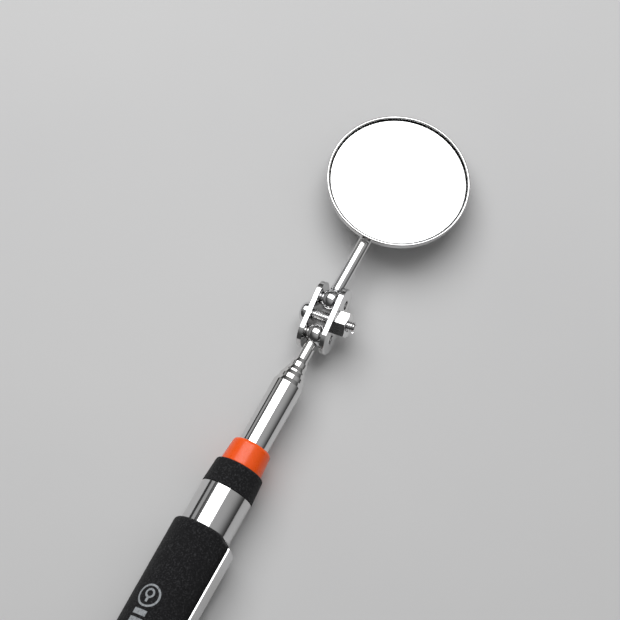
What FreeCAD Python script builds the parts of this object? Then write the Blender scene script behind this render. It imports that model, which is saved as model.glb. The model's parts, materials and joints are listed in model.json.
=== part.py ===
import FreeCAD, Part

import math
import os
import re

import Sketcher
from FreeCAD import Placement, Rotation, Vector

# Telescoping inspection mirror, collapsed. X runs along the tool from the butt face to the
# mirror, Z is up, and the origin is the middle of the butt face. Every size is in millimetres.

SIZES = {
    # stations along the handle, from the butt face
    "cap_flange": 4.0,
    "cap_length": 10.0,
    "clip_tip": 50.0,
    "clip_dip": 54.5,
    "arm_bend": 59.0,
    "neck_end": 93.5,
    "band_start": 94.1,
    "band_end": 109.3,
    "ferrule_start": 112.4,
    "foam_end": 119.0,
    "collar_end": 128.2,
    # radii round the handle
    "cap_radius": 9.6,
    "foam_radius": 11.25,
    "foam_front_radius": 9.6,
    "foam_lip_radius": 8.9,
    "ferrule_radius": 6.4,
    "collar_radius": 7.75,
    "collar_front_radius": 7.05,
    "band_bore": 8.9,
    "foam_bulge": 1.8,
    "foam_front_bulge": 0.9,
    "foam_gap": 0.1,
    # pocket clip: one sheet, a band with an arm that springs against the foam
    "clip_sheet": 0.55,
    "band_sweep": 340.0,
    "arm_sweep": 35.0,
    "neck_sweep": 40.0,
    "neck_round": 0.6,
    "neck_half_width": 2.75,
    "arm_rise": 3.45,
    "rise_run": 2.4,
    "bend_shift": 0.29,
    "dip_radius": 11.4,
    "tip_radius": 12.9,
    "clip_roll": 166.7,
    # telescoping sections, thickest first
    "outer_tube_radius": 5.45,
    "outer_tube_end": 154.6,
    "second_tube_radius": 4.65,
    "second_tube_tail": 12.0,
    "second_tube_end": 157.7,
    "third_tube_radius": 3.85,
    "third_tube_tail": 14.0,
    "third_tube_end": 159.9,
    "fourth_tube_radius": 3.05,
    "fourth_tube_tail": 16.0,
    "fourth_tube_end": 163.2,
    "rod_radius": 2.25,
    "rod_tail": 18.0,
    "tube_wall": 0.4,
    "slide_gap": 0.03,
    "lip_length": 1.6,
    "lip_edge": 0.14,
    "mouth_round": 0.8,
    "sleeve_length": 8.0,
    "sleeve_sweep": 335.0,
    "bead_width": 0.7,
    "bead_rise": 0.2,
    # ball joint: two balls held between two clamp plates by one screw
    "lower_ball_place": 173.5,
    "ball_radius": 4.0,
    "ball_flat": 3.4,
    "ball_spacing": 13.4,
    "spigot_radius": 1.5,
    "spigot_end": 0.5,
    "shoulder": 3.5,
    "plate_inside": 3.4,
    "plate_sheet": 1.8,
    "plate_end_radius": 5.6,
    "plate_edge_round": 0.3,
    "socket_wall": 1.6,
    "socket_hole_radius": 1.6,
    "screw_radius": 2.1,
    "screw_hole_radius": 2.2,
    "screw_length": 20.5,
    "screw_chamfer": 0.5,
    "head_radius": 3.6,
    "head_height": 3.4,
    "head_round": 2.0,
    "recess_reach": 1.9,
    "recess_half_width": 0.45,
    "recess_depth": 1.7,
    "nut_half_flats": 4.15,
    "nut_corner_radius": 4.72,
    "nut_height": 4.2,
    "nut_chamfer": 0.45,
    "nut_turn": -12.0,
    "nut_bearing": -84.0,
    "nut_climb": 12.5,
    # mirror head, measured from the middle of the upper ball
    "mirror_rod_radius": 2.35,
    "flatten_start": 25.3,
    "rod_bend": 34.3,
    "paddle_length": 21.5,
    "paddle_half_width": 4.0,
    "paddle_half_sheet": 0.85,
    "paddle_edge_round": 0.8,
    "paddle_end_round": 3.9,
    "mirror_tilt": 9.5,
    "mirror_reach": 13.8,
    "cup_radius": 24.55,
    "cup_sheet": 0.5,
    "cup_depth": 4.0,
    "cup_round": 1.2,
    "rim_radius": 25.0,
    "rim_height": 0.9,
    "rim_round": 0.42,
    "pad_radius": 22.5,
    "pad_sheet": 0.5,
    "glass_radius": 23.7,
    "glass_sheet": 2.0,
    "glass_round": 0.25,
}

doc = FreeCAD.newDocument("inspection_mirror")
sheet = doc.addObject("Spreadsheet::Sheet", "Sizes")
for row, (alias, number) in enumerate(SIZES.items(), start=1):
    sheet.set(f"A{row}", alias)
    sheet.set(f"B{row}", str(number))
    sheet.setAlias(f"B{row}", alias)
doc.recompute()


def bound(formula):
    """Name the sheet in front of every size that a formula uses."""
    return re.sub(r"\b[a-z_]+\b(?!\()", lambda name: f"Sizes.{name.group()}", formula)


def value(formula):
    """Work a formula out from the sheet, as a plain number."""
    return float(sheet.evalExpression(bound(formula)))


def bind(thing, **formulas):
    """Bind properties of an object to formulas of the sheet."""
    for name, formula in formulas.items():
        thing.setExpression(name, bound(formula))


# ---- sketches

HORIZONTAL_AXIS, VERTICAL_AXIS = -1, -2
START, END = 1, 2


def sketch_on(body, role, name):
    """A sketch on one of the body's own origin planes."""
    plane = next(item for item in body.Origin.OriginFeatures if item.Role == role)
    sketch = body.newObject("Sketcher::SketchObject", name)
    sketch.AttachmentSupport = (plane, [""])
    sketch.MapMode = "FlatFace"
    return sketch


def fix(sketch, geometry, point, across, up):
    """Hold a point of a sketch at a place given by two formulas."""
    for kind, axis, formula in (
        ("DistanceX", VERTICAL_AXIS, across),
        ("DistanceY", HORIZONTAL_AXIS, up),
    ):
        if formula == "0":
            sketch.addConstraint(Sketcher.Constraint("PointOnObject", geometry, point, axis))
        else:
            rule = Sketcher.Constraint(kind, geometry, point, value(formula))
            index = sketch.addConstraint(rule)
            sketch.setExpression(f"Constraints[{index}]", bound(formula))


def outline(sketch, corners):
    """Draw a closed outline through corners (across, up) or (across, up, rounding)."""
    points = [Vector(value(corner[0]), value(corner[1]), 0) for corner in corners]
    arrive, leave = list(points), list(points)
    rounded = {n: corner[2] for n, corner in enumerate(corners) if len(corner) == 3}
    arcs = {}
    for n, rounding in rounded.items():
        back = (points[n - 1] - points[n]).normalize()
        ahead = (points[(n + 1) % len(points)] - points[n]).normalize()
        half = back.getAngle(ahead) / 2
        radius = value(rounding)
        arrive[n] = points[n] + back * (radius / math.tan(half))
        leave[n] = points[n] + ahead * (radius / math.tan(half))
        middle = (back + ahead).normalize()
        center = points[n] + middle * (radius / math.sin(half))
        arc = Part.Arc(arrive[n], center - middle * radius, leave[n])
        arcs[n] = sketch.addGeometry(arc)
    lines = []
    for n in range(len(points)):
        edge = Part.LineSegment(leave[n], arrive[(n + 1) % len(points)])
        lines.append(sketch.addGeometry(edge))
    for n, corner in enumerate(corners):
        before, after = lines[n - 1], lines[n]
        if n not in rounded:
            sketch.addConstraint(Sketcher.Constraint("Coincident", before, END, after, START))
            fix(sketch, after, START, corner[0], corner[1])
            continue
        arc = arcs[n]
        turns_left = (arrive[n] - points[n]).cross(leave[n] - points[n]).z < 0
        first, last = (START, END) if turns_left else (END, START)
        sketch.addConstraint(Sketcher.Constraint("Tangent", before, END, arc, first))
        sketch.addConstraint(Sketcher.Constraint("Tangent", arc, last, after, START))
        index = sketch.addConstraint(Sketcher.Constraint("Radius", arc, value(rounded[n])))
        sketch.setExpression(f"Constraints[{index}]", bound(rounded[n]))
        peg = sketch.addGeometry(Part.Point(points[n]), True)
        sketch.addConstraint(Sketcher.Constraint("PointOnObject", peg, START, before))
        sketch.addConstraint(Sketcher.Constraint("PointOnObject", peg, START, after))
        fix(sketch, peg, START, corner[0], corner[1])


def circle(sketch, across, up, radius):
    """Draw a circle at a place given by formulas."""
    shape = Part.Circle(Vector(value(across), value(up), 0), Vector(0, 0, 1), value(radius))
    index = sketch.addGeometry(shape)
    fix(sketch, index, 3, across, up)
    rule = sketch.addConstraint(Sketcher.Constraint("Radius", index, value(radius)))
    sketch.setExpression(f"Constraints[{rule}]", bound(radius))


# ---- features

def new_body(label):
    body = doc.addObject("PartDesign::Body", label)
    body.Label = label
    return body


def turn(body, name, corners, sweep=None, about="x"):
    """Revolve an outline about the body's X axis or Z axis, all the way or by a sweep."""
    sketch = sketch_on(body, "XY_Plane" if about == "x" else "XZ_Plane", f"{name}_outline")
    outline(sketch, corners)
    turned = body.newObject("PartDesign::Revolution", name)
    turned.Profile = sketch
    turned.ReferenceAxis = (sketch, ["H_Axis" if about == "x" else "V_Axis"])
    turned.Angle = 360
    if sweep:
        turned.Midplane = True
        bind(turned, Angle=sweep)
    return turned


def turned_body(label, corners, sweep=None, about="x"):
    body = new_body(label)
    turn(body, f"{label}_turned", corners, sweep, about)
    return body


# ---- handle

def end_cap():
    return turned_body("end_cap", [
        ("0", "0"),
        ("0", "cap_radius", "cap_flange / 2.2"),
        ("cap_flange", "cap_radius", "cap_flange / 8"),
        ("cap_flange", "outer_tube_radius - tube_wall"),
        ("cap_length", "outer_tube_radius - tube_wall", "tube_wall"),
        ("cap_length", "0"),
    ])


def foam_grip():
    """A sleeve squeezed in under the clip's band, with a hollow where the neck presses on it."""
    body = turned_body("foam_grip", [
        ("cap_flange", "outer_tube_radius"),
        ("cap_flange", "foam_radius", "foam_bulge / 2"),
        ("band_start - foam_gap", "foam_radius", "foam_bulge"),
        ("band_start - foam_gap", "band_bore - foam_gap"),
        ("band_end + foam_gap", "band_bore - foam_gap"),
        ("band_end + foam_gap", "foam_front_radius", "foam_front_bulge / 2"),
        ("foam_end", "foam_lip_radius", "foam_front_bulge"),
        ("foam_end", "ferrule_radius"),
        ("ferrule_start", "ferrule_radius"),
        ("ferrule_start", "outer_tube_radius"),
    ])
    doc.recompute()
    whole = body.Tip.Shape.Volume
    under_neck = sketch_on(body, "XY_Plane", "neck_hollow_outline")
    outline(under_neck, [
        ("band_start", "band_bore - foam_gap"),
        ("neck_end - foam_gap", "band_bore - foam_gap"),
        ("neck_end - rise_run - foam_gap", "band_bore + arm_rise - foam_gap"),
        ("band_start", "band_bore + arm_rise - foam_gap"),
    ])
    hollow = body.newObject("PartDesign::Groove", "neck_hollow")
    hollow.Profile = under_neck
    hollow.ReferenceAxis = (under_neck, ["H_Axis"])
    hollow.Midplane = True
    bind(hollow, Angle="neck_sweep + 2")
    doc.recompute()
    if hollow.Shape.Volume >= whole:
        raise RuntimeError("the foam has no hollow under the clip's neck")
    body.Placement = Placement(Vector(), Rotation(Vector(1, 0, 0), value("clip_roll")))
    return body


def grip_collar():
    return turned_body("grip_collar", [
        ("ferrule_start", "outer_tube_radius"),
        ("ferrule_start", "ferrule_radius"),
        ("foam_end", "ferrule_radius"),
        ("foam_end", "collar_radius", "tube_wall"),
        ("collar_end", "collar_front_radius", "tube_wall * 3"),
        ("collar_end", "outer_tube_radius"),
    ])


def pocket_clip():
    """A band round the foam, open underneath, and an arm that leaves it through a flared neck."""
    body = new_body("pocket_clip")
    turn(body, "clip_neck", [
        ("neck_end", "band_bore"),
        ("band_start", "band_bore"),
        ("band_start", "band_bore + clip_sheet"),
        ("neck_end", "band_bore + clip_sheet"),
    ], sweep="neck_sweep")
    flare = sketch_on(body, "XZ_Plane", "neck_flare")
    for side in ("", "-"):
        circle(flare, "neck_end", f"{side}(neck_half_width + neck_round)", "neck_round")
    doc.recompute()
    whole = body.Tip.Shape.Volume
    flared = body.newObject("PartDesign::Pocket", "neck_flared")
    flared.Profile = flare
    flared.Type = "ThroughAll"
    flared.Midplane = True
    doc.recompute()
    if flared.Shape.Volume >= whole:
        raise RuntimeError("the clip's neck is not flared")
    turn(body, "clip_band", [
        ("band_start", "band_bore"),
        ("band_end", "band_bore"),
        ("band_end", "band_bore + clip_sheet"),
        ("band_start", "band_bore + clip_sheet"),
    ], sweep="band_sweep")
    turn(body, "clip_arm", [
        ("band_start", "band_bore"),
        ("band_start", "band_bore + clip_sheet"),
        ("neck_end + bend_shift", "band_bore + clip_sheet", "clip_sheet / 2"),
        ("neck_end + bend_shift - rise_run", "band_bore + clip_sheet + arm_rise", "3 * clip_sheet"),
        ("arm_bend", "band_bore + clip_sheet + arm_rise", "4 * clip_sheet"),
        ("clip_dip", "dip_radius + clip_sheet", "4 * clip_sheet"),
        ("clip_tip", "tip_radius + clip_sheet"),
        ("clip_tip", "tip_radius"),
        ("clip_dip", "dip_radius", "5 * clip_sheet"),
        ("arm_bend", "band_bore + arm_rise", "3 * clip_sheet"),
        ("neck_end - rise_run", "band_bore + arm_rise", "2 * clip_sheet"),
        ("neck_end", "band_bore", "1.5 * clip_sheet"),
    ], sweep="arm_sweep")
    body.Placement = Placement(Vector(), Rotation(Vector(1, 0, 0), value("clip_roll")))
    return body


# ---- telescoping sections

def mouth(name, inner_radius):
    """The rolled-in end of a tube, as corners from its bore to its outside."""
    lip = f"{inner_radius} + slide_gap"
    end, bore = f"{name}_end", f"{name}_radius - tube_wall"
    return [
        (f"{end} - lip_length", bore),
        (f"{end} - lip_length + ({bore} - ({lip})) * 2", lip),
        (end, lip),
        (end, f"{lip} + lip_edge"),
        (f"{end} - lip_length", f"{name}_radius", "mouth_round"),
    ]


def tail(name, radius):
    """The beads on the tail of a section that hold its sleeve, as corners from front to back."""
    place = f"{name}_tail"
    front = f"{place} + bead_width + sleeve_length"
    return [
        (f"{front} + bead_width", radius),
        (f"{front} + bead_width", f"{radius} + bead_rise"),
        (front, f"{radius} + bead_rise"),
        (front, radius),
        (f"{place} + bead_width", radius),
        (f"{place} + bead_width", f"{radius} + bead_rise"),
        (place, f"{radius} + bead_rise"),
    ]


def outer_tube():
    return turned_body("outer_tube", [
        ("cap_flange", "outer_tube_radius - tube_wall"),
        *mouth("outer_tube", "second_tube_radius"),
        ("cap_flange", "outer_tube_radius"),
    ])


def inner_tube(label, next_radius):
    return turned_body(label, [
        (f"{label}_tail", f"{label}_radius - tube_wall"),
        *mouth(label, next_radius),
        *tail(label, f"{label}_radius"),
    ])


def inner_rod():
    """The solid last section, with a spigot in front that carries the lower ball."""
    shoulder = "lower_ball_place - shoulder"
    spigot = "lower_ball_place - spigot_end"
    return turned_body("inner_rod", [
        ("rod_tail", "0"),
        (spigot, "0"),
        (spigot, "spigot_radius"),
        (shoulder, "spigot_radius"),
        (shoulder, "rod_radius"),
        *tail("rod", "rod_radius"),
    ])


def sleeve(label, name, radius, bore):
    """A split spring sleeve on a section's tail, which rubs in the bore of the section outside it."""
    back, front = f"{name}_tail + bead_width", f"{name}_tail + bead_width + sleeve_length"
    return turned_body(label, [
        (back, radius),
        (front, radius),
        (front, f"{bore} - slide_gap"),
        (back, f"{bore} - slide_gap"),
    ], sweep="sleeve_sweep")


# ---- ball joint

def clamp_frame():
    """Where the clamp stands: its X runs from ball to ball and its Z along the screw to the nut."""
    bearing, climb = math.radians(value("nut_bearing")), math.radians(value("nut_climb"))
    level = Vector(math.cos(bearing), math.sin(bearing), 0)
    screw = level * math.cos(climb) + Vector(0, 0, 1) * math.sin(climb)
    tool = Vector(1, 0, 0)
    along = (tool - screw * tool.dot(screw)).normalize()
    turn_to = Rotation(along, screw.cross(along), screw, "ZXY")
    lower = Vector(value("lower_ball_place"), 0, 0)
    return Placement(lower + along * value("ball_spacing / 2"), turn_to)


def ball(label, place, rod_direction):
    """A ball with a flat and a blind bore on the side where its rod comes in."""
    globe = doc.addObject("Part::Sphere", f"{label}_globe")
    bind(globe, Radius="ball_radius", Angle2="asin(ball_flat / ball_radius)")
    bore = doc.addObject("Part::Cylinder", f"{label}_bore")
    bind(bore, Radius="spigot_radius + slide_gap", Height="ball_radius")
    bore.setExpression("Placement.Base.z", bound("spigot_end - slide_gap * 3"))
    bored = doc.addObject("Part::Cut", label)
    bored.Base, bored.Tool = globe, bore
    bored.Label = label
    bored.Placement = Placement(place, Rotation(Vector(0, 0, 1), rod_direction))
    return bored


def plate_body(label):
    """A flat stadium of sheet, above the middle plane of the clamp."""
    body = new_body(f"{label}_blank")
    sketch = sketch_on(body, "XY_Plane", f"{label}_outline")
    reach, width = "ball_spacing / 2 + plate_end_radius", "plate_end_radius"
    rounding = "plate_end_radius * 0.98"
    outline(sketch, [
        (f"{reach}", f"{width}", rounding),
        (f"-({reach})", f"{width}", rounding),
        (f"-({reach})", f"-({width})", rounding),
        (f"{reach}", f"-({width})", rounding),
    ])
    bind(sketch, **{"AttachmentOffset.Base.z": "plate_inside"})
    pad = body.newObject("PartDesign::Pad", f"{label}_pad")
    pad.Profile = sketch
    bind(pad, Length="plate_sheet")
    doc.recompute()
    outer_level = value("plate_inside + plate_sheet")
    rim = [
        f"Edge{n}" for n, edge in enumerate(pad.Shape.Edges, start=1)
        if all(abs(vertex.Z - outer_level) < 0.01 for vertex in edge.Vertexes)
    ]
    rounded = body.newObject("PartDesign::Fillet", f"{label}_eased")
    rounded.Base = (pad, rim)
    bind(rounded, Radius="plate_edge_round")
    return body


def clamp_plate(label, side):
    """A plate with two pressed ball sockets, open at their tops, and a hole for the screw."""
    raised, removed = [plate_body(label)], []
    for end in ("", "-"):
        place = bound(f"{end}ball_spacing / 2")
        dome = doc.addObject("Part::Sphere", f"{label}_dome")
        lowest = "asin(plate_inside / (ball_radius + socket_wall))"
        bind(dome, Radius="ball_radius + socket_wall", Angle1=lowest)
        socket = doc.addObject("Part::Sphere", f"{label}_socket")
        bind(socket, Radius="ball_radius + slide_gap")
        eye = doc.addObject("Part::Cylinder", f"{label}_eye")
        bind(eye, Radius="socket_hole_radius", Height="ball_radius * 2")
        for item in (dome, socket, eye):
            item.setExpression("Placement.Base.x", place)
        raised.append(dome)
        removed += [socket, eye]
    hole = doc.addObject("Part::Cylinder", f"{label}_screw_hole")
    bind(hole, Radius="screw_hole_radius", Height="ball_radius * 2")
    pressed = doc.addObject("Part::MultiFuse", f"{label}_pressed")
    pressed.Shapes = raised
    cutters = doc.addObject("Part::MultiFuse", f"{label}_cutters")
    cutters.Shapes = removed + [hole]
    plate = doc.addObject("Part::Cut", label)
    plate.Base, plate.Tool = pressed, cutters
    plate.Label = label
    flip = Placement(Vector(), Rotation(Vector(1, 0, 0), 0 if side > 0 else 180))
    plate.Placement = clamp_frame().multiply(flip)
    return plate


def clamp_screw():
    """A pan head screw, built from the top of its head down."""
    body = new_body("clamp_screw")
    turn(body, "screw_turned", [
        ("0", "0"),
        ("head_radius", "0", "head_round"),
        ("head_radius", "head_height"),
        ("screw_radius", "head_height"),
        ("screw_radius", "screw_length - screw_chamfer"),
        ("screw_radius - screw_chamfer", "screw_length"),
        ("0", "screw_length"),
    ], about="z")
    doc.recompute()
    whole = body.Tip.Shape.Volume
    cross = sketch_on(body, "XY_Plane", "screw_cross")
    reach, half = "recess_reach", "recess_half_width"
    quarter = [(reach, f"-{half}"), (reach, half), (half, half)]
    corners = []
    for _ in range(4):
        corners += quarter
        quarter = [(negative(up), across) for across, up in quarter]
    outline(cross, corners)
    recess = body.newObject("PartDesign::Pocket", "screw_recess")
    recess.Profile = cross
    recess.Reversed = True
    bind(recess, Length="recess_depth")
    doc.recompute()
    if recess.Shape.Volume >= whole:
        raise RuntimeError("the screw has no recess")
    below = Placement(Vector(0, 0, -value("plate_inside + plate_sheet + head_height")), Rotation())
    body.Placement = clamp_frame().multiply(below)
    return body


def negative(formula):
    return formula[1:] if formula.startswith("-") else f"-{formula}"


def clamp_nut():
    """A hexagon nut with both ends chamfered to a circle."""
    prism = doc.addObject("Part::Prism", "nut_prism")
    prism.Polygon = 6
    bind(prism, Circumradius="nut_half_flats / cos(30)", Height="nut_height")
    prism.Placement = Placement(Vector(), Rotation(Vector(0, 0, 1), value("nut_turn")))
    bored = turned_body("nut_barrel", [
        ("screw_radius + slide_gap", "0"),
        ("nut_corner_radius - nut_chamfer", "0"),
        ("nut_corner_radius + nut_chamfer", "nut_chamfer"),
        ("nut_corner_radius + nut_chamfer", "nut_height - nut_chamfer"),
        ("nut_corner_radius - nut_chamfer", "nut_height"),
        ("screw_radius + slide_gap", "nut_height"),
    ], about="z")
    nut = doc.addObject("Part::MultiCommon", "clamp_nut")
    nut.Shapes = [prism, bored]
    nut.Label = "clamp_nut"
    on_plate = Placement(Vector(0, 0, value("plate_inside + plate_sheet")), Rotation())
    nut.Placement = clamp_frame().multiply(on_plate)
    return nut


# ---- mirror head

def upper_ball_place():
    return clamp_frame().multVec(Vector(value("ball_spacing / 2"), 0, 0))


def mirror_frame():
    """Where the back of the mirror's cup stands on the flattened end of its rod."""
    tilt = Rotation(Vector(0, 1, 0), value("mirror_tilt"))
    along_paddle = Vector(value("mirror_reach"), 0, value("paddle_half_sheet"))
    place = upper_ball_place() + Vector(value("rod_bend"), 0, 0) + tilt.multVec(along_paddle)
    return Placement(place, tilt)


def section(body, name, place, half_width, half_height, rounding):
    """A rounded rectangle across the rod, for a loft."""
    sketch = sketch_on(body, "YZ_Plane", name)
    outline(sketch, [
        (half_width, half_height, rounding),
        (f"-{half_width}", half_height, rounding),
        (f"-{half_width}", f"-{half_height}", rounding),
        (half_width, f"-{half_height}", rounding),
    ])
    bind(sketch, **{"AttachmentOffset.Base.z": place})
    return sketch


def mirror_rod():
    """A round rod with a spigot for the upper ball, flattened and bent to a paddle."""
    body = new_body("mirror_rod")
    turn(body, "rod_turned", [
        ("spigot_end", "0"),
        ("flatten_start", "0"),
        ("flatten_start", "mirror_rod_radius"),
        ("shoulder", "mirror_rod_radius"),
        ("shoulder", "spigot_radius"),
        ("spigot_end", "spigot_radius"),
    ])
    round_end = section(body, "rod_round", "flatten_start", "mirror_rod_radius",
                        "mirror_rod_radius", "mirror_rod_radius * 0.98")
    flat_end = section(body, "rod_flat", "rod_bend", "paddle_half_width",
                       "paddle_half_sheet", "paddle_edge_round")
    doc.recompute()
    flattened = body.newObject("PartDesign::AdditiveLoft", "rod_flattened")
    flattened.Profile = round_end
    flattened.Sections = [(flat_end, [""])]
    flattened.Ruled = True
    paddle = sketch_on(body, "XY_Plane", "paddle_outline")
    outline(paddle, [
        ("0", "-paddle_half_width"),
        ("paddle_length", "-paddle_half_width", "paddle_end_round"),
        ("paddle_length", "paddle_half_width", "paddle_end_round"),
        ("0", "paddle_half_width"),
    ])
    bent = Rotation(Vector(0, 1, 0), value("mirror_tilt"))
    paddle.AttachmentOffset = Placement(Vector(value("rod_bend"), 0, 0), bent)
    pad = body.newObject("PartDesign::Pad", "paddle")
    pad.Profile = paddle
    pad.Midplane = True
    bind(pad, Length="2 * paddle_half_sheet")
    body.Placement = Placement(upper_ball_place(), Rotation())
    return body


def mirror_cup():
    """A thin cup with a rolled rim that stands proud of the glass."""
    body = turned_body("mirror_cup", [
        ("0", "0"),
        ("cup_radius", "0", "cup_round"),
        ("cup_radius", "cup_depth - rim_height"),
        ("rim_radius", "cup_depth - rim_height", "rim_round"),
        ("rim_radius", "cup_depth", "rim_round"),
        ("cup_radius - cup_sheet", "cup_depth", "rim_round"),
        ("cup_radius - cup_sheet", "cup_sheet", "cup_round - cup_sheet"),
        ("0", "cup_sheet"),
    ], about="z")
    body.Placement = mirror_frame()
    return body


def mirror_pad():
    body = turned_body("mirror_pad", [
        ("0", "cup_sheet"),
        ("pad_radius", "cup_sheet"),
        ("pad_radius", "cup_sheet + pad_sheet"),
        ("0", "cup_sheet + pad_sheet"),
    ], about="z")
    body.Placement = mirror_frame()
    return body


def mirror_glass():
    back = "cup_sheet + pad_sheet"
    body = turned_body("mirror_glass", [
        ("0", back),
        ("glass_radius", back),
        ("glass_radius", f"{back} + glass_sheet", "glass_round"),
        ("0", f"{back} + glass_sheet"),
    ], about="z")
    body.Placement = mirror_frame()
    return body


nodes = [
    end_cap(),
    outer_tube(),
    foam_grip(),
    grip_collar(),
    pocket_clip(),
    inner_tube("second_tube", "third_tube_radius"),
    inner_tube("third_tube", "fourth_tube_radius"),
    inner_tube("fourth_tube", "rod_radius"),
    inner_rod(),
    sleeve("second_tube_sleeve", "second_tube", "second_tube_radius", "outer_tube_radius - tube_wall"),
    sleeve("third_tube_sleeve", "third_tube", "third_tube_radius", "second_tube_radius - tube_wall"),
    sleeve("fourth_tube_sleeve", "fourth_tube", "fourth_tube_radius", "third_tube_radius - tube_wall"),
    sleeve("rod_sleeve", "rod", "rod_radius", "fourth_tube_radius - tube_wall"),
    ball("lower_ball", Vector(value("lower_ball_place"), 0, 0), Vector(-1, 0, 0)),
    ball("upper_ball", upper_ball_place(), Vector(1, 0, 0)),
    clamp_plate("nut_side_plate", 1),
    clamp_plate("head_side_plate", -1),
    clamp_screw(),
    clamp_nut(),
    mirror_rod(),
    mirror_cup(),
    mirror_pad(),
    mirror_glass(),
]

doc.recompute()
for item in doc.Objects:
    if "Invalid" in item.State or "Error" in item.State:
        raise RuntimeError(f"{item.Label} failed: {item.State}")
for node in nodes:
    if node.Shape.isNull() or not node.Shape.isValid() or len(node.Shape.Solids) != 1:
        raise RuntimeError(f"{node.Label} has no single valid solid")

os.makedirs("parts", exist_ok=True)
for node in nodes:
    node.Shape.exportStep(f"parts/{node.Label}.step")
    box = node.Shape.BoundBox
    print(
        f"{node.Label:20s} {node.Shape.Volume:9.1f} mm3"
        f"  x {box.XMin:7.2f} {box.XMax:7.2f}"
        f"  y {box.YMin:7.2f} {box.YMax:7.2f}  z {box.ZMin:7.2f} {box.ZMax:7.2f}"
    )
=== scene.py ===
import json
import math

import bmesh
import bpy
from mathutils import Matrix, Vector, noise


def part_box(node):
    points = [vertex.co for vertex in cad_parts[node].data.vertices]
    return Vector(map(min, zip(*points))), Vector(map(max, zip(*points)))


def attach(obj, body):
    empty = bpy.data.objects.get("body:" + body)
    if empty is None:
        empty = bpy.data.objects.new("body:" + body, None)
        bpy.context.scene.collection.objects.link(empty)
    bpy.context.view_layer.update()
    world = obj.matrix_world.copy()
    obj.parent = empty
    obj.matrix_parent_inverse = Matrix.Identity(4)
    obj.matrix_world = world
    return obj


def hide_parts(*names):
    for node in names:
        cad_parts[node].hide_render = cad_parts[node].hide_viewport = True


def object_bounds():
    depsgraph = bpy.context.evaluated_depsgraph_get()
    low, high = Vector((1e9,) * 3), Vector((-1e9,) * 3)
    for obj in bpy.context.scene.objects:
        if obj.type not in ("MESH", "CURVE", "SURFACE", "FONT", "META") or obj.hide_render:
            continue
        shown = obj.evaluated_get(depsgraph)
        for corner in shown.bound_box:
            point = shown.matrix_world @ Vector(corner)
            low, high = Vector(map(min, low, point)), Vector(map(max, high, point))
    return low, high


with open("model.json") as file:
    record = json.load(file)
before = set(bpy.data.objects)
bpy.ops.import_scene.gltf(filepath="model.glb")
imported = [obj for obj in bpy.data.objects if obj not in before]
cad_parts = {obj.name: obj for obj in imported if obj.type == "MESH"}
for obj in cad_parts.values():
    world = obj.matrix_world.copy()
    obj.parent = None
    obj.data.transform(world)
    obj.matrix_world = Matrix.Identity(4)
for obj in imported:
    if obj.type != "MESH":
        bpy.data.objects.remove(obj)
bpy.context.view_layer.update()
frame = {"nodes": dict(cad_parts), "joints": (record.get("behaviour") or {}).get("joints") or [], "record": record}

mm = 0.001
weldDistance = 1e-7
joints = {joint["name"]: joint for joint in frame["joints"]}


# small helpers for places and meshes

def squareTo(direction, axis):
    return (direction - axis * direction.dot(axis)).normalized()


def placeOf(first, second, third, origin):
    # a place whose own X, Y and Z point along three directions
    return Matrix.Translation(origin) @ Matrix((first, second, third)).transposed().to_4x4()


def fade(value, start, end):
    # a soft step from 0 at the start to 1 at the end
    share = min(max((value - start) / (end - start), 0), 1)
    return share * share * (3 - 2 * share)


def roundCorners(corners, arcSteps=8, guard=0.12 * mm, closed=True):
    # corners are (along, out) or (along, out, rounding); straight runs get a point near each end
    points = [Vector(corner[:2]) for corner in corners]
    ends = []
    for n, corner in enumerate(corners):
        here = points[n]
        inside = closed or 0 < n < len(corners) - 1
        if len(corner) < 3 or not inside:
            ends.append([here])
            continue
        back = (points[n - 1] - here).normalized()
        ahead = (points[(n + 1) % len(points)] - here).normalized()
        half = back.angle(ahead) / 2
        middle = here + (back + ahead).normalized() * (corner[2] / math.sin(half))
        start = here + back * (corner[2] / math.tan(half)) - middle
        finish = here + ahead * (corner[2] / math.tan(half)) - middle
        sweep = math.atan2(start.x * finish.y - start.y * finish.x, start.dot(finish))
        arc = []
        for step in range(arcSteps + 1):
            turn = Matrix.Rotation(sweep * step / arcSteps, 2)
            arc.append(middle + turn @ start)
        ends.append(arc)
    outline = []
    for n, arc in enumerate(ends):
        outline += arc
        if n == len(ends) - 1 and not closed:
            break
        here, there = arc[-1], ends[(n + 1) % len(ends)][0]
        run = there - here
        if run.length > 3 * guard:
            outline += [here + run.normalized() * guard, there - run.normalized() * guard]
    return outline


def resample(points, spacing):
    # a polyline with extra points, so that no run is longer than the spacing
    dense = []
    for here, there in zip(points, points[1:]):
        count = max(1, math.ceil((there - here).length / spacing))
        dense += [here.lerp(there, n / count) for n in range(count)]
    return dense + [points[-1]]


def shadeByAngle(mesh, sharpAngle=32):
    mesh.shade_smooth()
    mesh.set_sharp_from_angle(angle=math.radians(sharpAngle))


def fromBmesh(name, work, sharpAngle=32):
    bmesh.ops.remove_doubles(work, verts=work.verts, dist=weldDistance)
    bmesh.ops.recalc_face_normals(work, faces=work.faces)
    mesh = bpy.data.meshes.new(name)
    work.to_mesh(mesh)
    work.free()
    shadeByAngle(mesh, sharpAngle)
    made = bpy.data.objects.new(name, mesh)
    bpy.context.scene.collection.objects.link(made)
    return made


def weave(work, rows, closed=False):
    # quads between neighbouring rows of points
    for low, high in zip(rows, rows[1:]):
        for n in range(len(low) if closed else len(low) - 1):
            across = (n + 1) % len(low)
            work.faces.new((low[n], low[across], high[across], high[n]))


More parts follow.
